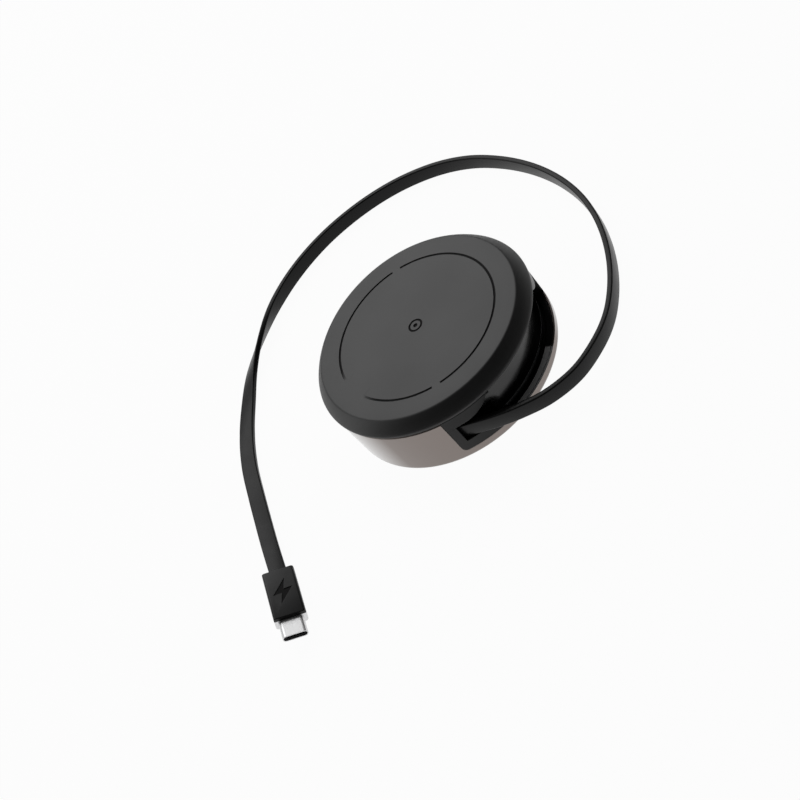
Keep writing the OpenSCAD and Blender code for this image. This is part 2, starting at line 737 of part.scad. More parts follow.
// Metal tray of the plug, up to just over the tip
module plug_housing() {
    bevel = 0.4;
    low = cap_seam - cap_z;
    color([0.6, 0.57, 0.55]) at_plug() difference() {
        mirror([0, 0, 1]) hull() {
            slab(0, bevel, low, plug_t / 2 - bevel, plug_corner - 0.2);
            slab(bevel, 0, low, plug_t / 2, plug_corner);
            slab(plug_l - bevel - 0.1, 0, low, plug_t / 2, plug_corner);
            slab(plug_l - 0.1, bevel, low, plug_t / 2 - bevel, plug_corner - 0.2);
        }
        translate([plug_l - 3.1, 0, 0]) tip_form(0.02, 4);
    }
}

// Black cap on the tray
module plug_cap() {
    bevel = 0.4;
    color([0.13, 0.13, 0.135]) at_plug() hull() {
        slab(0, bevel, cap_z, plug_t / 2 - bevel, plug_corner - 0.2);
        slab(bevel, 0, cap_z, plug_t / 2, plug_corner);
        slab(plug_l - bevel - 0.1, 0, cap_z, plug_t / 2, plug_corner);
        slab(plug_l - 0.1, bevel, cap_z, plug_t / 2 - bevel, plug_corner - 0.2);
    }
}

// The tip's outline: a flat bar with round edges, along +X
module tip_form(gap, length) {
    r = tip_t / 2 + gap;
    rotate([90, 0, 90]) linear_extrude(length) union() {
        square([tip_w - tip_t, 2 * r], center = true);
        for (s = [-1, 1]) translate([s * (tip_w - tip_t) / 2, 0]) circle(r = r);
    }
}

module plug_shell() {
    color([0.83, 0.84, 0.86]) at_plug() translate([plug_l - 3, 0, 0]) difference() {
        tip_form(0, 3 + tip_l);
        translate([3, 0, 0]) tip_form(-tip_wall, tip_l + cut);
    }
}

// Insulator in the tip with the slot for the mating tongue
module plug_contacts() {
    flat = tip_w - tip_t;
    color([0.1, 0.1, 0.1]) at_plug() translate([plug_l, 0, 0]) difference() {
        tip_form(-tip_wall - 0.05, tip_l - 0.5);
        translate([1.4, -flat / 2, -0.45]) cube([tip_l, flat, 0.9]);
    }
}

top_cover();
upper_chassis();
lower_chassis();
outer_shell();
base_plate();
foot_ring();
base_screws();
centre_screw();
shaft_screws();
reel_shaft();
reel_retainer();
reel_bush();
reel_drum();
reel_flange();
cable_clamp();
mainspring();
ratchet_ring();
ratchet_pawl();
pawl_pin();
pawl_spring();
contact_disc();
contact_rings();
brush_block();
brush_springs();
circuit_board();
board_components();
board_screws();
coil_carrier();
ferrite_plate();
charging_coil();
ribbon_cable();
plug_housing();
plug_cap();
plug_shell();
plug_contacts();
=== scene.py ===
import math

import bmesh
import bpy
from mathutils import Matrix, Vector


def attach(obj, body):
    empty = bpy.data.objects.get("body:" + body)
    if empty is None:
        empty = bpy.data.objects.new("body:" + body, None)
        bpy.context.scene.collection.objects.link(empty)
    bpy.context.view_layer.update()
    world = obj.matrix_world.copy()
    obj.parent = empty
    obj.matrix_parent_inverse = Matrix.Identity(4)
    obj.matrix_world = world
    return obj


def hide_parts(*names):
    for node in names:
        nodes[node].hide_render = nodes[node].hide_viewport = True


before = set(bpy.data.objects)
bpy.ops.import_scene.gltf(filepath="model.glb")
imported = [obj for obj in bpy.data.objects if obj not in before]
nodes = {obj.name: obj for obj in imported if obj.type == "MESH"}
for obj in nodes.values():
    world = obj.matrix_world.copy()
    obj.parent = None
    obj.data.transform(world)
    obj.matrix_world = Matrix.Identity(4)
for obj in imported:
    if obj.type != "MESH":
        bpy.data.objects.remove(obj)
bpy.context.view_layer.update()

print("frame loaded,", len(nodes), "nodes")

# camera, as the photograph was taken: the picture is turned about 44 degrees
photoView = {
    "place": (-0.20493, -0.31449, 0.34473),
    "right": (0.3977, -0.7620, -0.5111),
    "up": (0.8390, 0.0767, 0.5386),
    "back": (-0.3713, -0.6430, 0.6698),
    "lens": 68.515,
}


def addCamera(view):
    data = bpy.data.cameras.new("photoCamera")
    data.lens = view["lens"]
    data.sensor_width = 36
    data.clip_start = 0.01
    data.clip_end = 20
    camera = bpy.data.objects.new("photoCamera", data)
    bpy.context.scene.collection.objects.link(camera)
    turn = Matrix((view["right"], view["up"], view["back"])).transposed().to_4x4()
    camera.matrix_world = Matrix.Translation(view["place"]) @ turn
    bpy.context.scene.camera = camera


addCamera(photoView)
print("camera set")


# small helpers

close = 1e-6  # metres, for telling places apart

def dropSelection():
    if bpy.context.object and bpy.context.object.mode != "OBJECT":
        bpy.ops.object.mode_set(mode="OBJECT")
    bpy.ops.object.select_all(action="DESELECT")


def pickEdges(piece, test):
    # selects the edges whose two ends pass the test; leaves the piece in edit mode
    bpy.ops.object.mode_set(mode="EDIT")
    bpy.ops.mesh.select_mode(type="EDGE")
    bpy.ops.mesh.select_all(action="DESELECT")
    shape = bmesh.from_edit_mesh(piece.data)
    for edge in shape.edges:
        edge.select_set(bool(test(edge.verts[0].co, edge.verts[1].co)))
    shape.select_flush_mode()
    bmesh.update_edit_mesh(piece.data)


def pickOnly(piece):
    dropSelection()
    piece.select_set(True)
    bpy.context.view_layer.objects.active = piece


def settle(piece):
    # place, turn and scale go into the mesh, so the object itself stays at the origin
    pickOnly(piece)
    bpy.ops.object.transform_apply(location=True, rotation=True, scale=True)


def mend(piece):
    bpy.ops.object.mode_set(mode="EDIT")
    bpy.ops.mesh.select_all(action="SELECT")
    bpy.ops.mesh.remove_doubles(threshold=2 * close)
    bpy.ops.mesh.normals_make_consistent(inside=False)
    bpy.ops.object.mode_set(mode="OBJECT")


# cable: the route that the solids follow, in millimetres, with the lean of its width
cableRun = {
    "width": 5.8, "thick": 2.0, "edge": 0.5, "edgeSteps": 4, "rings": 8,
    "points": [
        (-34.6, -7.4, 8.1, 0), (-32.3, -14.3, 8.1, 0), (-29.4, -21.4, 8.1, 0), (-26.5, -28.2, 8.1, 0),
        (-23.4, -35, 8, 0), (-19.3, -42, 7.8, 0), (-12.6, -49.6, 7, 0), (-2.6, -54.6, 5.2, 0),
        (9, -56, 3.4, 0), (20, -55, 1.8, 0), (31, -51.6, 0.6, 0), (42, -46.6, 0.1, 0),
        (52.5, -40, 0, 0), (62.2, -31.8, 0, 0), (70.8, -21.8, 0, 0), (78, -9.8, 0, 0),
        (83.4, 3.8, 0, 0), (86.6, 18.6, 0, 0), (87.2, 33.8, 0, 0), (84, 48.8, 0, 0),
        (76.6, 63.4, 0, 0), (65.6, 76, 0, 0), (51.6, 86, 0, 0), (36, 92, 0, 0),
        (20.4, 93.8, 0, 10), (5, 92.2, 0, 35), (-9.2, 88.8, 0, 62), (-22.4, 83.2, 0, 82),
        (-35, 76.4, 0, 90), (-46.8, 67.6, 0, 96), (-57.6, 57.4, 0, 101), (-67.4, 47.4, 0.4, 105),
        (-76, 38, 1.4, 109), (-85.1, 27.6, 2.6, 112),
    ],
}


def cableSpots(run):
    # the same smooth curve as the solid, in metres, with more rings
    spots = run["points"]
    last = len(spots) - 1
    line = []
    for i in range(last):
        # a curve through all points, by the four points round each stretch
        a, b, c, d = (Vector(spots[j]) for j in (max(i - 1, 0), i, i + 1, min(i + 2, last)))
        for k in range(run["rings"]):
            t = k / run["rings"]
            line.append(0.5 * (2 * b + (c - a) * t + (2 * a - 5 * b + 4 * c - d) * t * t
                               + (3 * b - a - 3 * c + d) * t ** 3))
    line.append(Vector(spots[last]))
    placed = []
    for p in line:
        lean = math.radians(p[3])
        # the third number is the room under the cable, so its middle stands higher by its own half height
        lift = (max(p[2], 0) + run["width"] / 2 * abs(math.cos(lean))
                + run["thick"] / 2 * abs(math.sin(lean)))
        placed.append((Vector((p[0], p[1], lift)) / 1000, lean))
    return placed


def cableSection(run):
    # a flat oval with rounded edges, walked once round: (across the width, across the thickness)
    w, h, e = run["width"] / 2000, run["thick"] / 2000, run["edge"] / 1000
    spots = []
    for cx, cy, start in ((w - e, h - e, 0), (e - w, h - e, 90), (e - w, e - h, 180), (w - e, e - h, 270)):
        for k in range(run["edgeSteps"] + 1):
            a = math.radians(start + 90 / run["edgeSteps"] * k)
            spots.append((cx + e * math.cos(a), cy + e * math.sin(a)))
    return spots


def makeCable(run):
    placed = cableSpots(run)
    section = cableSection(run)
    count = len(section)
    shape = bmesh.new()
    uvLayer = shape.loops.layers.uv.new("run")
    rings, reach = [], [0]
    for i, (spot, lean) in enumerate(placed):
        ahead = placed[min(i + 1, len(placed) - 1)][0] - placed[max(i - 1, 0)][0]
        along = ahead.normalized()
        side = Vector((-along.y, along.x, 0)).normalized()
        rise = along.cross(side)
        across = rise * math.cos(lean) + side * math.sin(lean)
        out = along.cross(across)
        rings.append([shape.verts.new(spot + across * s[0] + out * s[1]) for s in section])
        if i:
            reach.append(reach[-1] + (spot - placed[i - 1][0]).length)
    for i in range(len(rings) - 1):
        for k in range(count):
            face = shape.faces.new((rings[i][k], rings[i][(k + 1) % count],
                                    rings[i + 1][(k + 1) % count], rings[i + 1][k]))
            face.smooth = True
            for loop, (u, v) in zip(face.loops, ((reach[i], k), (reach[i], k + 1),
                                                 (reach[i + 1], k + 1), (reach[i + 1], k))):
                loop[uvLayer].uv = (u, v / count)
    shape.faces.new(rings[0])
    shape.faces.new(list(reversed(rings[-1])))
    bmesh.ops.recalc_face_normals(shape, faces=shape.faces)
    mesh = bpy.data.meshes.new("flatCable")
    shape.to_mesh(mesh)
    shape.free()
    piece = bpy.data.objects.new("flatCable", mesh)
    bpy.context.scene.collection.objects.link(piece)
    return piece, [spot for spot, lean in placed], reach[-1]


flatCable, cablePath, cableLength = makeCable(cableRun)
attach(flatCable, "housing")
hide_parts("ribbon_cable")
print("cable laid, %.1f mm" % (cableLength * 1000))

# top cover: turned from its profile, in millimetres (radius, height), with the engraved marks
coverSizes = {
    "steps": 720, "top": 25.6, "depth": 0.3, "leastDepth": 0.0005, "smooth": 15,
    "start": (0.78, 25.3),
    "face": [(0.78, 25.6), (1.87, 25.6), (1.9, 25.3), (2.57, 25.3), (2.6, 25.6), (12, 25.6), (24, 25.6),
             (28.5, 25.6), (28.6, 25.3), (29.2, 25.3), (29.3, 25.6), (33, 25.6), (35.9, 25.6),
             (36.12, 25.59), (36.33, 25.55), (36.52, 25.48)],
    "roll": [(36.63, 25.41), (38.45, 23.84), (39.78, 21.75)], "parts": 14,
    "skirt": [(39.88, 21.54), (39.96, 21.38), (40, 21.22), (40, 20.8), (39.95, 20.74), (39.62, 20.7),
              (39.58, 20.24), (39.5, 20.2), (37.9, 20.2), (37.9, 23.2), (36.4, 24.0)],
    "ring": (28.4, 29.4), "sharpGaps": [(39, 45), (219, 225)],
    "softGap": (144, 164), "fade": 12,
}


def coverProfile(sizes):
    # the rounded edge is one soft curve that turns down sharply at the rim
    start, bend, end = sizes["roll"]
    arc = []
    for k in range(sizes["parts"] + 1):
        t = k / sizes["parts"]
        arc.append(tuple((1 - t) ** 2 * a + 2 * t * (1 - t) * b + t * t * c
                         for a, b, c in zip(start, bend, end)))
    return sizes["face"] + arc + sizes["skirt"]


def ringDepth(angle, sizes):
    # 1 where the ring is cut to its full depth, 0 in the gaps, slowly fading at the wide one
    angle %= 360
    low, high = sizes["softGap"]
    if any(a <= angle <= b for a, b in sizes["sharpGaps"]) or low <= angle <= high:
        return 0
    reach = low - angle if angle < low else angle - high
    soft = min(1, reach / sizes["fade"])
    return soft * soft * (3 - 2 * soft)


def makeCover(sizes):
    dropSelection()
    r, z = sizes["start"]
    bpy.ops.mesh.primitive_circle_add(vertices=sizes["steps"], radius=r / 1000, location=(0, 0, z / 1000))
    cover = bpy.context.object
    cover.name = "softCover"
    bpy.ops.object.transform_apply(location=True, rotation=True, scale=True)
    bpy.ops.object.mode_set(mode="EDIT")
    bpy.ops.mesh.select_all(action="SELECT")
    bpy.ops.mesh.edge_face_add()
    bpy.ops.mesh.select_mode(type="EDGE")
    bpy.ops.mesh.select_all(action="DESELECT")
    bpy.ops.mesh.select_non_manifold()
    for nextR, nextZ in coverProfile(sizes):
        bpy.ops.mesh.extrude_region_move(TRANSFORM_OT_translate={"value": (0, 0, (nextZ - z) / 1000)})
        bpy.ops.transform.resize(value=(nextR / r, nextR / r, 1), center_override=(0, 0, nextZ / 1000))
        r, z = nextR, nextZ
    bpy.ops.mesh.edge_face_add()
    bpy.ops.object.mode_set(mode="OBJECT")
    # the ring's floor rises to the face where the ring fades
    low, high = (v / 1000 for v in sizes["ring"])
    ringFloor = (sizes["top"] - sizes["depth"]) / 1000
    for spot in cover.data.vertices:
        co = spot.co
        if low < math.hypot(co.x, co.y) < high and abs(co.z - ringFloor) < close:
            cut = sizes["depth"] * ringDepth(math.degrees(math.atan2(co.y, co.x)), sizes)
            co.z = (sizes["top"] - max(cut, sizes["leastDepth"])) / 1000
    bpy.ops.object.mode_set(mode="EDIT")
    bpy.ops.mesh.select_all(action="SELECT")
    bpy.ops.mesh.normals_make_consistent(inside=False)
    bpy.ops.object.mode_set(mode="OBJECT")
    bpy.ops.object.shade_smooth_by_angle(angle=math.radians(sizes["smooth"]))
    return cover


softCover = makeCover(coverSizes)
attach(softCover, "housing")
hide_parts("top_cover")
print("cover turned,", len(softCover.data.polygons), "faces")

# plug: a black cap with a small recessed spark of its own shape, over a bright metal tray
plugSizes = {
    "turn": -135, "roll": 22, "length": 0.0196, "width": 0.0106,
    "top": 0.0028, "capLow": 0.0013, "trayTop": 0.00125, "low": -0.0028,
    "corner": 0.0009, "cornerSteps": 8, "edge": 0.00035, "edgeSteps": 3, "smooth": 28,
    "spark": [(-2.7, 0.75), (0.5, -1.75), (0.4, -0.2), (2.7, -0.75), (-0.5, 1.75), (-0.4, 0.2)],
    "sparkAt": 0.0094, "sparkLong": 0.00185, "sparkWide": 0.0019, "sparkDepth": 0.0002,
    "sparkRoom": (0.0065, 0.0042, 0.0018),
}


def plugPlace(sizes):
    turn = Matrix.Rotation(math.radians(sizes["turn"]), 4, "Z")
    roll = Matrix.Rotation(math.radians(-sizes["roll"]), 4, "X")
    return Matrix.Translation(cablePath[-1]) @ turn @ roll


def plugBlock(name, sizes, low, high, outer):
    # a block along +X with its two long outer corners rounded, and a fine round at both ends
    dropSelection()
    bpy.ops.mesh.primitive_cube_add(size=1, location=(sizes["length"] / 2, 0, (low + high) / 2))
    block = bpy.context.object
    block.name = name
    block.scale = (sizes["length"], sizes["width"], high - low)
    bpy.ops.object.transform_apply(location=True, rotation=True, scale=True)
    joint = low if outer == high else high
    pickEdges(block, lambda p, q: abs(p.z - outer) < close and abs(q.z - outer) < close
              and abs(p.y - q.y) < close)
    bpy.ops.mesh.bevel(offset=sizes["corner"], segments=sizes["cornerSteps"], affect="EDGES")
    pickEdges(block, lambda p, q: abs(p.x - q.x) < close
              and not (abs(p.z - joint) < close and abs(q.z - joint) < close))
    bpy.ops.mesh.bevel(offset=sizes["edge"], segments=sizes["edgeSteps"], affect="EDGES")
    bpy.ops.object.mode_set(mode="OBJECT")
    return block


def finishPlugPiece(piece, sizes):
    piece.matrix_world = plugPlace(sizes)
    settle(piece)
    mend(piece)
    pickOnly(piece)
    bpy.ops.object.shade_smooth_by_angle(angle=math.radians(sizes["smooth"]))


def cutSpark(cap, sizes):
    # the spark is drawn as a flat plate, extruded, and taken out of the cap
    dropSelection()
    bpy.ops.mesh.primitive_circle_add(vertices=6, radius=1, fill_type="NGON",
                                      location=(0, 0, sizes["top"] - sizes["sparkDepth"]))
    spark = bpy.context.object
    bpy.ops.object.transform_apply(location=True, rotation=True, scale=True)
    for corner, (u, v) in zip(spark.data.vertices, sizes["spark"]):
        corner.co.x = sizes["sparkAt"] + u * sizes["sparkLong"]
        corner.co.y = v * sizes["sparkWide"]
    bpy.ops.object.mode_set(mode="EDIT")
    bpy.ops.mesh.select_all(action="SELECT")
    bpy.ops.mesh.extrude_region_move(TRANSFORM_OT_translate={"value": (0, 0, 5 * sizes["sparkDepth"])})
    bpy.ops.mesh.select_all(action="SELECT")
    bpy.ops.mesh.normals_make_consistent(inside=False)
    bpy.ops.object.mode_set(mode="OBJECT")
    pickOnly(cap)
    cut = cap.modifiers.new("spark", "BOOLEAN")
    cut.operation = "DIFFERENCE"
    cut.solver = "EXACT"
    cut.object = spark
    bpy.ops.object.modifier_apply(modifier=cut.name)
    bpy.data.objects.remove(spark)


def markSpark(cap, sizes):
    # the recess's floor and walls get the cap's second, darker finish
    halfLong, halfWide, low = sizes["sparkRoom"]
    high = sizes["top"] - sizes["sparkDepth"] / 10
    for face in cap.data.polygons:
        x, y, z = face.center
        inside = abs(x - sizes["sparkAt"]) < halfLong and abs(y) < halfWide and low < z < high
        face.material_index = 1 if inside else 0


plugCap = plugBlock("plugCap", plugSizes, plugSizes["capLow"], plugSizes["top"], plugSizes["top"])
cutSpark(plugCap, plugSizes)
for holder in ("plugCapStart", "plugSparkStart"):
    plugCap.data.materials.append(bpy.data.materials.new(holder))
markSpark(plugCap, plugSizes)
finishPlugPiece(plugCap, plugSizes)
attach(plugCap, "housing")
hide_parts("plug_cap")

plugTray = plugBlock("plugTray", plugSizes, plugSizes["low"], plugSizes["trayTop"], plugSizes["low"])
finishPlugPiece(plugTray, plugSizes)
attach(plugTray, "housing")
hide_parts("plug_housing")

print("plug made,", len(plugCap.data.polygons) + len(plugTray.data.polygons), "faces")


# shader groups

def addNode(tree, kind, x, y, **settings):
    node = tree.nodes.new(kind)
    node.location = (x * 200, y * -160)
    for key, value in settings.items():
        setattr(node, key, value)
    return node


def newGroup(name, inputs, outputs):
    group = bpy.data.node_groups.new(name, "ShaderNodeTree")
    for label, kind, start in inputs:
        made = group.interface.new_socket(name=label, in_out="INPUT", socket_type=kind)
        if start is not None:
            made.default_value = start
    for label, kind in outputs:
        group.interface.new_socket(name=label, in_out="OUTPUT", socket_type=kind)
    return group, addNode(group, "NodeGroupInput", 0, 0), addNode(group, "NodeGroupOutput", 8, 0)


def feed(tree, socket, term):
    # a term is a number or another node's socket
    if isinstance(term, (int, float)):
        socket.default_value = term
    else:
        tree.links.new(term, socket)


def calc(tree, kind, x, y, *terms):
    # one Math node
    node = addNode(tree, "ShaderNodeMath", x, y, operation=kind)
    for socket, term in zip(node.inputs, terms):
        feed(tree, socket, term)
    return node.outputs[0]


def stretch(tree, x, y, value, low, high, start=0.0, end=1.0):
    # Map Range, clamped
    node = addNode(tree, "ShaderNodeMapRange", x, y)
    for label, term in (("Value", value), ("From Min", low), ("From Max", high), ("To Min", start),
                        ("To Max", end)):
        feed(tree, node.inputs[label], term)
    return node.outputs["Result"]


def makeGrainGroup():
    group, into, out = newGroup("fineGrain", [("Grain Scale", "NodeSocketFloat", 2000.0),
                                              ("Cloud Scale", "NodeSocketFloat", 60.0)],
                                [("Height", "NodeSocketFloat"), ("Clouds", "NodeSocketFloat"),
                                 ("Specks", "NodeSocketFloat")])
    place = addNode(group, "ShaderNodeTexCoord", 0, 2)
    fine = addNode(group, "ShaderNodeTexNoise", 2, 0)
    fine.inputs["Detail"].default_value = 3
    fine.inputs["Roughness"].default_value = 0.6
    clouds = addNode(group, "ShaderNodeTexNoise", 2, 2)
    clouds.inputs["Detail"].default_value = 2
    specks = addNode(group, "ShaderNodeTexVoronoi", 2, 4)
    for node in (fine, clouds, specks):
        group.links.new(place.outputs["Object"], node.inputs["Vector"])
    group.links.new(into.outputs["Grain Scale"], fine.inputs["Scale"])
    group.links.new(into.outputs["Grain Scale"], specks.inputs["Scale"])
    group.links.new(into.outputs["Cloud Scale"], clouds.inputs["Scale"])
    group.links.new(fine.outputs["Fac"], out.inputs["Height"])
    group.links.new(stretch(group, 4, 2, clouds.outputs["Fac"], 0.32, 0.68), out.inputs["Clouds"])
    group.links.new(stretch(group, 4, 4, specks.outputs["Distance"], 0.1, 0.55), out.inputs["Specks"])
    return group


def makeEdgeGroup():
    group, into, out = newGroup("softEdge", [("Width", "NodeSocketFloat", 0.0002)],
                                [("Rounded", "NodeSocketVector"), ("Edge", "NodeSocketFloat")])
    bevel = addNode(group, "ShaderNodeBevel", 2, 0, samples=6)
    flat = addNode(group, "ShaderNodeNewGeometry", 2, 2)
    dot = addNode(group, "ShaderNodeVectorMath", 4, 1, operation="DOT_PRODUCT")
    group.links.new(into.outputs["Width"], bevel.inputs["Radius"])
    group.links.new(bevel.outputs["Normal"], dot.inputs[0])
    group.links.new(flat.outputs["Normal"], dot.inputs[1])
    group.links.new(bevel.outputs["Normal"], out.inputs["Rounded"])
    group.links.new(stretch(group, 6, 1, dot.outputs["Value"], 0.99, 0.8), out.inputs["Edge"])
    return group


def makeAxisGroup():
    # millimetres and degrees round the part's upright axis
    group, into, out = newGroup("aroundAxis", [], [("Radius", "NodeSocketFloat"),
                                                  ("Angle", "NodeSocketFloat"),
                                                  ("Level", "NodeSocketFloat")])
    place = addNode(group, "ShaderNodeTexCoord", 0, 0)
    apart = addNode(group, "ShaderNodeSeparateXYZ", 1, 0)
    group.links.new(place.outputs["Object"], apart.inputs[0])
    x, y, z = apart.outputs
    square = calc(group, "ADD", 3, 0, calc(group, "MULTIPLY", 2, 0, x, x), calc(group, "MULTIPLY", 2, 1, y, y))
    reach = calc(group, "MULTIPLY", 5, 0, calc(group, "SQRT", 4, 0, square), 1000.0)
    angle = calc(group, "MULTIPLY", 5, 1, calc(group, "ARCTAN2", 4, 1, y, x), 57.29578)
    group.links.new(reach, out.inputs["Radius"])
    group.links.new(angle, out.inputs["Angle"])
    group.links.new(calc(group, "MULTIPLY", 5, 2, z, 1000.0), out.inputs["Level"])
    return group


def makeBandGroup():
    # 1 within half a width of a place, fading over a blur
    inputs = [("Value", "NodeSocketFloat", 0.0), ("At", "NodeSocketFloat", 0.0),
              ("Half", "NodeSocketFloat", 1.0), ("Blur", "NodeSocketFloat", 0.1)]
    group, into, out = newGroup("lineMask", inputs, [("Mask", "NodeSocketFloat")])
    apart = calc(group, "SUBTRACT", 2, 0, into.outputs["Value"], into.outputs["At"])
    away = calc(group, "ABSOLUTE", 3, 0, apart)
    edge = calc(group, "ADD", 3, 1, into.outputs["Half"], into.outputs["Blur"])
    group.links.new(stretch(group, 5, 0, away, into.outputs["Half"], edge, 1.0, 0.0), out.inputs["Mask"])
    return group


grainGroup = makeGrainGroup()
edgeGroup = makeEdgeGroup()
axisGroup = makeAxisGroup()
lineGroup = makeBandGroup()
print("shader groups made")


def placeGroup(tree, group, x, y, **values):
    node = addNode(tree, "ShaderNodeGroup", x, y, node_tree=group)
    for label, value in values.items():
        feed(tree, node.inputs[label.replace("_", " ")], value)
    return node


def mixTone(tree, x, y, mask, first, second, blend="MIX"):
    # colour mix; each colour is a socket or three numbers
    node = addNode(tree, "ShaderNodeMix", x, y, data_type="RGBA", blend_type=blend)
    tree.links.new(mask, node.inputs["Factor"])
    for label, term in (("A", first), ("B", second)):
        socket = [i for i in node.inputs if i.name == label and i.type == "RGBA"][0]
        if isinstance(term, (tuple, list)):
            socket.default_value = (*term, 1)
        else:
            tree.links.new(term, socket)
    return [o for o in node.outputs if o.type == "RGBA"][0]


def addBump(tree, x, y, height, under, strength, depth):
    node = addNode(tree, "ShaderNodeBump", x, y)
    node.inputs["Strength"].default_value = strength
    node.inputs["Distance"].default_value = depth
    tree.links.new(height, node.inputs["Height"])
    tree.links.new(under, node.inputs["Normal"])
    return node.outputs["Normal"]


def newFinish(name, look):
    # a Principled surface with two tones, uneven gloss, fine grain, softened edges and a painted highlight
    # along the edges
    material = bpy.data.materials.new(name)
    material.use_nodes = True
    tree = material.node_tree
    surface = tree.nodes["Principled BSDF"]
    surface.location = (2000, 0)
    surface.inputs["Metallic"].default_value = look.get("metal", 0.0)
    surface.inputs["Specular IOR Level"].default_value = look.get("specular", 0.5)
    surface.inputs["IOR"].default_value = look.get("ior", 1.45)
    surface.inputs["Coat Weight"].default_value = look.get("coat", 0.0)
    surface.inputs["Coat Roughness"].default_value = look.get("coatRough", 0.1)
    grain = placeGroup(tree, grainGroup, 0, 2, Grain_Scale=look["grain"], Cloud_Scale=look["clouds"])
    edge = placeGroup(tree, edgeGroup, 0, 4, Width=look.get("edge", 0.0002))
    tone = mixTone(tree, 3, 0, grain.outputs["Clouds"], look["tone"], look["tone2"])
    # painted highlight along the edges: near them the colour is mixed towards a lighter tone
    highlightTone = look.get("edgeTone", tuple(min(1, c * 1.8 + 0.01) for c in look["tone"]))
    tone = mixTone(tree, 4, 0, calc(tree, "MULTIPLY", 3, 1, edge.outputs["Edge"], look.get("edgeHighlight", 0.3)),
                   tone, highlightTone)
    rough = stretch(tree, 4, 2, grain.outputs["Clouds"], 0.0, 1.0,
                    look["rough"] - look["spread"], look["rough"] + look["spread"])
    normal = addBump(tree, 8, 3, grain.outputs[look.get("relief", "Height")], edge.outputs["Rounded"],
                     look.get("bump", 0.15), 0.00003)
    tree.links.new(tone, surface.inputs["Base Color"])
    tree.links.new(rough, surface.inputs["Roughness"])
    tree.links.new(normal, surface.inputs["Normal"])
    return {"material": material, "tree": tree, "surface": surface,
            "tone": tone, "rough": rough, "normal": normal}


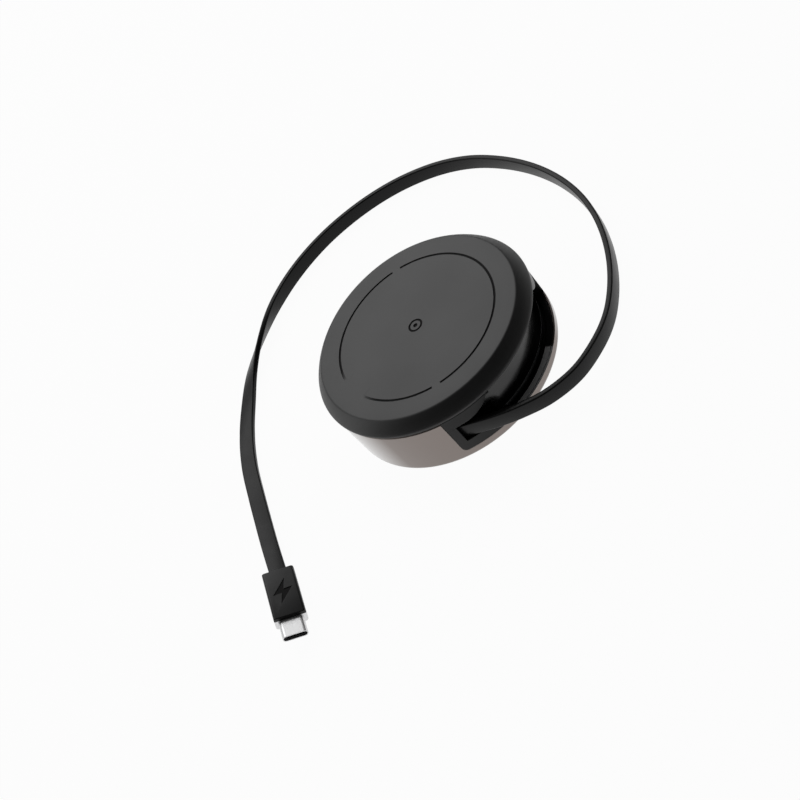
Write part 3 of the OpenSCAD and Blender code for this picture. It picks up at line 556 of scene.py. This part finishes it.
finishes = {
    "cover_black": {"tone": (0.012, 0.012, 0.0122), "tone2": (0.0135, 0.0135, 0.0137), "rough": 0.46,
                    "spread": 0.015, "grain": 5200, "clouds": 45, "bump": 0.06, "ior": 1.6,
                    "specular": 0.42, "edge": 0.00008, "edgeHighlight": 0.1},
    "chassis_black": {"tone": (0.008, 0.008, 0.0083), "tone2": (0.010, 0.010, 0.0103), "rough": 0.34,
                      "spread": 0.05, "grain": 3600, "clouds": 90, "bump": 0.08, "specular": 0.3,
                      "edge": 0.00022, "edgeHighlight": 0.5, "edgeTone": (0.045, 0.045, 0.046)},
    "reel_black": {"tone": (0.008, 0.008, 0.0085), "tone2": (0.010, 0.010, 0.0105), "rough": 0.2,
                   "spread": 0.04, "grain": 2600, "clouds": 120, "bump": 0.03, "specular": 0.6,
                   "edge": 0.0002, "edgeHighlight": 0.3},
    "shell_metal": {"tone": (0.235, 0.205, 0.19), "tone2": (0.25, 0.215, 0.2), "rough": 0.36, "spread": 0.02,
                    "grain": 6500, "clouds": 35, "bump": 0.1, "metal": 1.0, "edge": 0.00018, "edgeHighlight": 0.35,
                    "edgeTone": (0.6, 0.57, 0.55)},
    "foot_rubber": {"tone": (0.018, 0.018, 0.018), "tone2": (0.026, 0.026, 0.025), "rough": 0.8, "spread": 0.08,
                    "grain": 1800, "clouds": 160, "bump": 0.4, "relief": "Specks", "specular": 0.25,
                    "edge": 0.00015, "edgeHighlight": 0.2},
    "steel": {"tone": (0.52, 0.52, 0.53), "tone2": (0.62, 0.62, 0.63), "rough": 0.28, "spread": 0.08,
              "grain": 2600, "clouds": 300, "bump": 0.1, "metal": 1.0, "edge": 0.00012, "edgeHighlight": 0.5},
    "spring_steel": {"tone": (0.20, 0.22, 0.26), "tone2": (0.3, 0.31, 0.34), "rough": 0.34, "spread": 0.1,
                     "grain": 2200, "clouds": 180, "bump": 0.1, "metal": 1.0, "edge": 0.00005, "edgeHighlight": 0.4},
    "bronze": {"tone": (0.50, 0.31, 0.13), "tone2": (0.38, 0.24, 0.11), "rough": 0.45, "spread": 0.08,
               "grain": 3000, "clouds": 400, "bump": 0.5, "relief": "Specks", "metal": 1.0, "edge": 0.0001},
    "board_green": {"tone": (0.012, 0.10, 0.045), "tone2": (0.016, 0.12, 0.055), "rough": 0.32, "spread": 0.05,
                    "grain": 2400, "clouds": 140, "bump": 0.08, "coat": 0.4, "edge": 0.0001,
                    "edgeTone": (0.35, 0.33, 0.22)},
    "chip_black": {"tone": (0.016, 0.016, 0.017), "tone2": (0.024, 0.024, 0.025), "rough": 0.6, "spread": 0.06,
                   "grain": 4200, "clouds": 260, "bump": 0.35, "relief": "Specks", "edge": 0.0001},
    "copper": {"tone": (0.56, 0.22, 0.09), "tone2": (0.64, 0.27, 0.11), "rough": 0.26, "spread": 0.05,
               "grain": 1600, "clouds": 90, "bump": 0.05, "metal": 1.0, "coat": 0.5, "edge": 0.00005},
    "gold_contact": {"tone": (0.78, 0.50, 0.15), "tone2": (0.70, 0.44, 0.14), "rough": 0.24, "spread": 0.06,
                     "grain": 2600, "clouds": 260, "bump": 0.06, "metal": 1.0, "edge": 0.00005},
    "ferrite": {"tone": (0.035, 0.036, 0.042), "tone2": (0.055, 0.056, 0.062), "rough": 0.55, "spread": 0.1,
                "grain": 2400, "clouds": 220, "bump": 0.4, "relief": "Specks", "edge": 0.0001},
    "carrier_grey": {"tone": (0.42, 0.42, 0.40), "tone2": (0.47, 0.47, 0.45), "rough": 0.5, "spread": 0.06,
                     "grain": 2600, "clouds": 80, "bump": 0.15, "edge": 0.00015},
    "cable_black": {"tone": (0.006, 0.006, 0.0063), "tone2": (0.008, 0.008, 0.0083), "rough": 0.32,
                    "spread": 0.05, "grain": 4200, "clouds": 70, "bump": 0.12, "specular": 0.22,
                    "edge": 0.00005, "edgeHighlight": 0.1},
    "plug_black": {"tone": (0.010, 0.010, 0.0103), "tone2": (0.013, 0.013, 0.0133), "rough": 0.36,
                   "spread": 0.04, "grain": 4200, "clouds": 120, "bump": 0.1, "specular": 0.32,
                   "edge": 0.0001, "edgeHighlight": 0.3},
    "plug_mark": {"tone": (0.004, 0.004, 0.004), "tone2": (0.006, 0.006, 0.006), "rough": 0.3, "spread": 0.03,
                  "grain": 4200, "clouds": 120, "bump": 0.05, "specular": 0.08, "edge": 0.00003, "edgeHighlight": 0.0},
    "plug_steel": {"tone": (0.76, 0.76, 0.765), "tone2": (0.8, 0.8, 0.805), "rough": 0.34, "spread": 0.04,
                   "grain": 2600, "clouds": 300, "bump": 0.05, "metal": 0.85, "edge": 0.0001, "edgeHighlight": 0.3},
}
made = {slot: newFinish(slot, look) for slot, look in finishes.items()}
print("base finishes made")


# what each finish has of its own, with painted light and shade on some; places in millimetres and degrees round
# the upright axis

def opened(slot):
    at = made[slot]
    return at, at["tree"], at["surface"]


coverMarks = {
    "ring": 28.9, "half": 0.26, "blur": 0.1, "gapMiddle": 154.0, "gapHalf": 10.0, "fade": 14.0,
    "top": (25.54, 25.585), "middle": (3.0, 3.2), "grooveShade": (0.0015, 0.0015, 0.0015), "rough": 0.9,
}


def shadeCoverGrooves(marks):
    # painted shade: the engraved ring and centre mark are darkened inside their grooves; the ring thins out
    # towards its wide gap
    at, tree, surface = opened("cover_black")
    axis = placeGroup(tree, axisGroup, 0, 7)
    ring = placeGroup(tree, lineGroup, 2, 7, Value=axis.outputs["Radius"], At=marks["ring"],
                      Half=marks["half"], Blur=marks["blur"])
    sunk = stretch(tree, 2, 8, axis.outputs["Level"], *marks["top"], 1.0, 0.0)
    away = calc(tree, "ABSOLUTE", 3, 9, calc(tree, "SUBTRACT", 2, 9, axis.outputs["Angle"], marks["gapMiddle"]))
    fade = stretch(tree, 4, 9, away, marks["gapHalf"], marks["gapHalf"] + marks["fade"], 0.0, 1.0)
    mark = stretch(tree, 3, 10, axis.outputs["Radius"], *marks["middle"], 1.0, 0.0)
    drawn = calc(tree, "MAXIMUM", 5, 8, calc(tree, "MULTIPLY", 4, 8, ring.outputs["Mask"], fade), mark)
    mask = calc(tree, "MULTIPLY", 6, 8, drawn, sunk)
    tree.links.new(mixTone(tree, 6, 0, mask, at["tone"], marks["grooveShade"]), surface.inputs["Base Color"])
    tree.links.new(stretch(tree, 7, 2, mask, 0.0, 1.0, at["rough"], marks["rough"]),
                   surface.inputs["Roughness"])


shadeCoverGrooves(coverMarks)


brushing = {
    "shell_metal": {"rate": 14.0, "depth": 0.00001, "strength": 0.08},
    "steel": {"rate": 9.0, "depth": 0.00002, "strength": 0.25},
    "gold_contact": {"rate": 12.0, "depth": 0.00001, "strength": 0.2},
    "reel_black": {"rate": 7.0, "depth": 0.00001, "strength": 0.05},
}


def brushRound(slot, look):
    # fine turned lines that run round the axis
    at, tree, surface = opened(slot)
    axis = placeGroup(tree, axisGroup, 0, 7)
    lines = addNode(tree, "ShaderNodeTexNoise", 4, 7, noise_dimensions="1D")
    lines.inputs["Detail"].default_value = 2
    lines.inputs["Scale"].default_value = look["rate"]
    tree.links.new(calc(tree, "ADD", 2, 7, axis.outputs["Radius"], axis.outputs["Level"]), lines.inputs["W"])
    normal = addBump(tree, 9, 5, lines.outputs["Fac"], at["normal"], look["strength"], look["depth"])
    tree.links.new(normal, surface.inputs["Normal"])


for slot, look in brushing.items():
    brushRound(slot, look)

boardTracks = {"cells": 240, "width": (0.06, 0.09), "cover": 0.6, "tone": (0.05, 0.2, 0.08)}


def drawTracks(look):
    # copper tracks under the solder mask, on a grid of cells
    at, tree, surface = opened("board_green")
    place = addNode(tree, "ShaderNodeTexCoord", 0, 7)
    cells = addNode(tree, "ShaderNodeTexVoronoi", 2, 7, feature="DISTANCE_TO_EDGE", distance="EUCLIDEAN")
    cells.inputs["Scale"].default_value = look["cells"]
    tree.links.new(place.outputs["Object"], cells.inputs["Vector"])
    track = stretch(tree, 3, 7, cells.outputs["Distance"], *look["width"], 1.0, 0.0)
    tone = mixTone(tree, 6, 0, calc(tree, "MULTIPLY", 4, 7, track, look["cover"]), at["tone"], look["tone"])
    tree.links.new(tone, surface.inputs["Base Color"])


drawTracks(boardTracks)

coilStrands = {"rate": 21.0, "shade": (-1.0, 0.2, 0.55, 0.0), "tone": (0.12, 0.04, 0.015)}


def windCoil(look):
    # strands of enamelled wire within each turn, with painted shade in the grooves between strands
    at, tree, surface = opened("copper")
    axis = placeGroup(tree, axisGroup, 0, 7)
    wave = calc(tree, "SINE", 3, 7, calc(tree, "MULTIPLY", 2, 7, axis.outputs["Radius"], look["rate"]))
    shade = stretch(tree, 4, 7, wave, *look["shade"])
    tree.links.new(mixTone(tree, 6, 0, shade, at["tone"], look["tone"]), surface.inputs["Base Color"])


windCoil(coilStrands)

cableLines = {"along": 40.0, "round": 90.0, "strength": 0.1, "depth": 0.00002}


def lineCable(look):
    # the cable's faces carry faint lines along it, from its own map
    at, tree, surface = opened("cable_black")
    chart = addNode(tree, "ShaderNodeUVMap", 0, 7, uv_map="run")
    turn = addNode(tree, "ShaderNodeMapping", 1, 7)
    turn.inputs["Scale"].default_value = (look["along"], look["round"], 1.0)
    lines = addNode(tree, "ShaderNodeTexNoise", 3, 7)
    lines.inputs["Scale"].default_value = 1.0
    lines.inputs["Detail"].default_value = 2
    tree.links.new(chart.outputs["UV"], turn.inputs["Vector"])
    tree.links.new(turn.outputs["Vector"], lines.inputs["Vector"])
    normal = addBump(tree, 9, 5, lines.outputs["Fac"], at["normal"], look["strength"], look["depth"])
    tree.links.new(normal, surface.inputs["Normal"])


lineCable(cableLines)

# painted highlight along the window's sill and the shell's cut edge beside it
sillHighlight = {
    "arc": {"At": -98.5, "Half": 21.5, "Blur": 1.0}, "level": {"At": 4.0, "Half": 0.05, "Blur": 0.02},
    "inner": (36.5, 36.55), "tone": (0.8, 0.8, 0.8), "metal": 0.1,
}


def sillHighlightMask(tree, y, marks):
    # where the painted highlight goes: the upward faces along the window's lower edge, from the cable's bar to
    # the middle
    axis = placeGroup(tree, axisGroup, 0, y)
    arc = placeGroup(tree, lineGroup, 2, y, Value=axis.outputs["Angle"], **marks["arc"])
    flat = placeGroup(tree, lineGroup, 2, y + 1, Value=axis.outputs["Level"], **marks["level"])
    outer = stretch(tree, 2, y + 2, axis.outputs["Radius"], *marks["inner"])
    return calc(tree, "MULTIPLY", 4, y, calc(tree, "MULTIPLY", 3, y, arc.outputs["Mask"],
                                             flat.outputs["Mask"]), outer)


def paintSillHighlight(marks):
    # painted highlight: the black chassis is made pale along this strip only, standing in for the light it
    # catches there
    at, tree, surface = opened("chassis_black")
    tone = mixTone(tree, 6, 0, sillHighlightMask(tree, 7, marks), at["tone"], marks["tone"])
    tree.links.new(tone, surface.inputs["Base Color"])


def paintShellEdgeHighlight(marks):
    # painted highlight on the shell's cut edge beside that strip: its colour is made pale and its metal turned
    # down, so it shows light grey
    at, tree, surface = opened("shell_metal")
    mask = sillHighlightMask(tree, 11, marks)
    tree.links.new(stretch(tree, 5, 11, mask, 0.0, 1.0, 1.0, marks["metal"]), surface.inputs["Metallic"])
    return mixTone(tree, 5, 0, mask, at["tone"], marks["tone"])


# painted sheen on the shell: pale colour towards its outline
shellSheenPaint = {"low": 0.62, "high": 1.0, "pale": (0.9, 0.9, 0.9)}


def paintShellSheen(tone, look):
    # painted sheen: the satin metal's colour pales where it turns away from the view, standing in for its
    # bright reflection at grazing angles
    at, tree, surface = opened("shell_metal")
    away = addNode(tree, "ShaderNodeLayerWeight", 3, 8)
    away.inputs["Blend"].default_value = 0.5
    mask = stretch(tree, 4, 8, away.outputs["Facing"], look["low"], look["high"])
    tree.links.new(mixTone(tree, 6, 0, mask, tone, look["pale"]), surface.inputs["Base Color"])


paintSillHighlight(sillHighlight)
paintShellSheen(paintShellEdgeHighlight(sillHighlight), shellSheenPaint)
print("finish details made")


# every carried node takes the finish of its slot
for node in nodes.values():
    for holder in node.material_slots:
        label = holder.material.name.split(".")[0]
        holder.material = made[label]["material"]
for piece, slot in ((flatCable, "cable_black"), (softCover, "cover_black"), (plugTray, "plug_steel")):
    piece.data.materials.append(made[slot]["material"])
for i, slot in enumerate(("plug_black", "plug_mark")):
    plugCap.data.materials[i] = made[slot]["material"]
print("finishes assigned")


# floor, world and lamps
studio = {
    "floorSize": 6, "floorTone": 0.86, "floorGlow": 0.96,
    "skyDark": 0.05, "skyLight": 0.6, "skySide": (0.2, 0.72, 0.62), "skyFrom": 0.35, "skyTo": 0.95,
    "lampAim": (0, 0.02, 0.01),
    "lamps": [("backPanel", (0.5, 0.7, 0.8), 0.75, 3.0), ("leftPanel", (-0.5, 0.75, 0.35), 0.6, 1.0)],
}


def addFloor(look):
    # pale and lit, so it keeps the shadow; the camera and reflections see it nearly white
    dropSelection()
    bpy.ops.mesh.primitive_plane_add(size=look["floorSize"], location=(0, 0, 0))
    floor = bpy.context.object
    floor.name = "studioFloor"
    material = bpy.data.materials.new("studioFloor")
    material.use_nodes = True
    tree = material.node_tree
    tree.nodes.clear()
    out = addNode(tree, "ShaderNodeOutputMaterial", 6, 0)
    lit = addNode(tree, "ShaderNodeBsdfDiffuse", 3, 1)
    lit.inputs["Color"].default_value = (look["floorTone"],) * 3 + (1,)
    glow = addNode(tree, "ShaderNodeEmission", 3, 2)
    glow.inputs["Color"].default_value = (1, 1, 1, 1)
    rays = addNode(tree, "ShaderNodeLightPath", 0, 0)
    seen = calc(tree, "MAXIMUM", 1, 0, rays.outputs["Is Camera Ray"], rays.outputs["Is Glossy Ray"])
    seen = calc(tree, "MAXIMUM", 2, 0, seen, rays.outputs["Is Transmission Ray"])
    mix = addNode(tree, "ShaderNodeMixShader", 5, 0)
    tree.links.new(calc(tree, "MULTIPLY", 3, 0, seen, look["floorGlow"]), mix.inputs[0])
    tree.links.new(lit.outputs[0], mix.inputs[1])
    tree.links.new(glow.outputs[0], mix.inputs[2])
    tree.links.new(mix.outputs[0], out.inputs[0])
    floor.data.materials.append(material)


def addSky(look):
    # a soft studio room: bright behind the part, dim on the other side; the camera sees plain white
    world = bpy.data.worlds.new("studioRoom")
    bpy.context.scene.world = world
    world.use_nodes = True
    tree = world.node_tree
    tree.nodes.clear()
    out = addNode(tree, "ShaderNodeOutputWorld", 8, 0)
    sky = addNode(tree, "ShaderNodeBackground", 7, 0)
    sky.inputs["Color"].default_value = (1, 1, 1, 1)
    place = addNode(tree, "ShaderNodeTexCoord", 0, 0)
    dot = addNode(tree, "ShaderNodeVectorMath", 2, 0, operation="DOT_PRODUCT")
    dot.inputs[1].default_value = Vector(look["skySide"]).normalized()
    tree.links.new(place.outputs["Generated"], dot.inputs[0])
    level = stretch(tree, 3, 0, dot.outputs["Value"], look["skyFrom"], look["skyTo"],
                    look["skyDark"], look["skyLight"])
    rays = addNode(tree, "ShaderNodeLightPath", 3, 2)
    seen = calc(tree, "MAXIMUM", 4, 2, rays.outputs["Is Camera Ray"], rays.outputs["Is Transmission Ray"])
    plain = calc(tree, "MAXIMUM", 5, 0, level, seen)
    tree.links.new(plain, sky.inputs["Strength"])
    tree.links.new(sky.outputs[0], out.inputs[0])


def addLamps(look):
    for name, spot, size, power in look["lamps"]:
        data = bpy.data.lights.new(name, "AREA")
        data.shape = "SQUARE"
        data.size = size
        data.energy = power
        lamp = bpy.data.objects.new(name, data)
        bpy.context.scene.collection.objects.link(lamp)
        lamp.location = spot
        lamp.rotation_euler = (Vector(look["lampAim"]) - Vector(spot)).to_track_quat("-Z", "Y").to_euler()


addFloor(studio)
addSky(studio)
addLamps(studio)
bpy.context.scene.view_settings.view_transform = "Standard"
print("studio set")

dropSelection()
